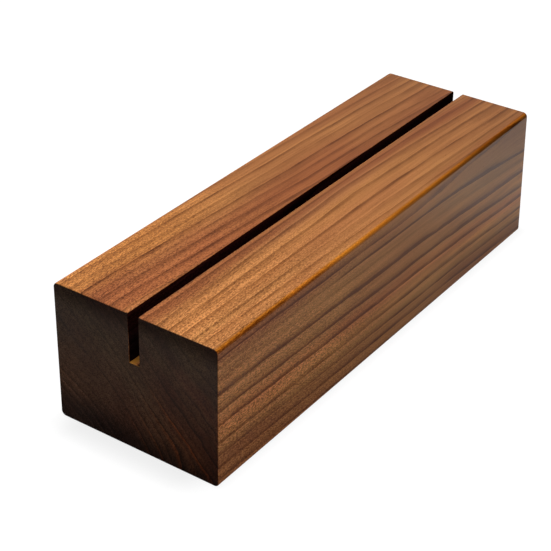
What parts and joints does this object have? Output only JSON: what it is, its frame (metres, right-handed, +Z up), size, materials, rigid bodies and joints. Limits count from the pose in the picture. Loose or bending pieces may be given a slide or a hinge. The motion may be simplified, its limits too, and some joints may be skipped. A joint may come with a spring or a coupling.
{
  "type": "photo album stand",
  "caption": "Low solid hardwood block with eased edges and a narrow slot along its top that holds an album, card or panel upright; soft pads let into the underside.",
  "frame": {"origin": "on the surface that the stand rests on, under the middle of the block", "axes": "+Z up, +Y along the block and its slot from the front end to the rear end, +X out of one long side"},
  "size_m": [0.066, 0.205, 0.0529],
  "materials": {
    "walnut": "oiled and buffed to a satin sheen, pores open",
    "pad_rubber": "matte, fine moulded texture"
  },
  "bodies": {
    "root": {"block": "walnut", "foot_pad_front_left": "pad_rubber", "foot_pad_front_right": "pad_rubber", "foot_pad_rear_left": "pad_rubber", "foot_pad_rear_right": "pad_rubber"}
  },
  "joints": []
}
